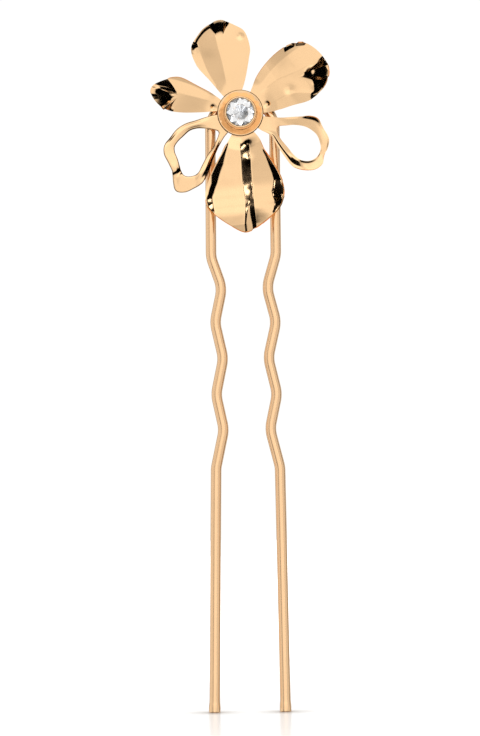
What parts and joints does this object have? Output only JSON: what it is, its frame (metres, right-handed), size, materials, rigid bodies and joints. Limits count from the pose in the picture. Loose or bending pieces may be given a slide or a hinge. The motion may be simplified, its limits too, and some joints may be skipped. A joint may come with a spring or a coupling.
{
  "type": "decorative hair pin",
  "caption": "Crimped U-shaped wire hair pin topped by a polished metal flower with solid and open looped petals and a clear crystal set in its centre.",
  "frame": {"origin": "midway between the tips of the two prongs, at tip level, in the wire's plane", "axes": "+Z along the prongs from the tips to the flower, +X to the right seen from the flower's front, +Y from the flower's front to its back"},
  "size_m": [0.0231, 0.0062, 0.0884],
  "materials": {
    "wire": "polished rose gold plate",
    "hub": "polished rose gold plate",
    "petals": "high polish rose gold plate",
    "setting": "high polish rose gold plate",
    "crystal": "clear faceted",
    "foil": "silver foil"
  },
  "bodies": {
    "root": {"pin_wire": "wire", "back_plate": "hub", "hub_disc": "hub", "petal_upper_left": "petals", "petal_upper_right": "petals", "petal_left": "petals", "petal_bottom": "petals", "open_petal_left": "petals", "open_petal_right": "petals", "centre_dish": "setting", "bezel_cup": "setting", "crystal": "crystal", "crystal_foil": "foil"}
  },
  "joints": []
}
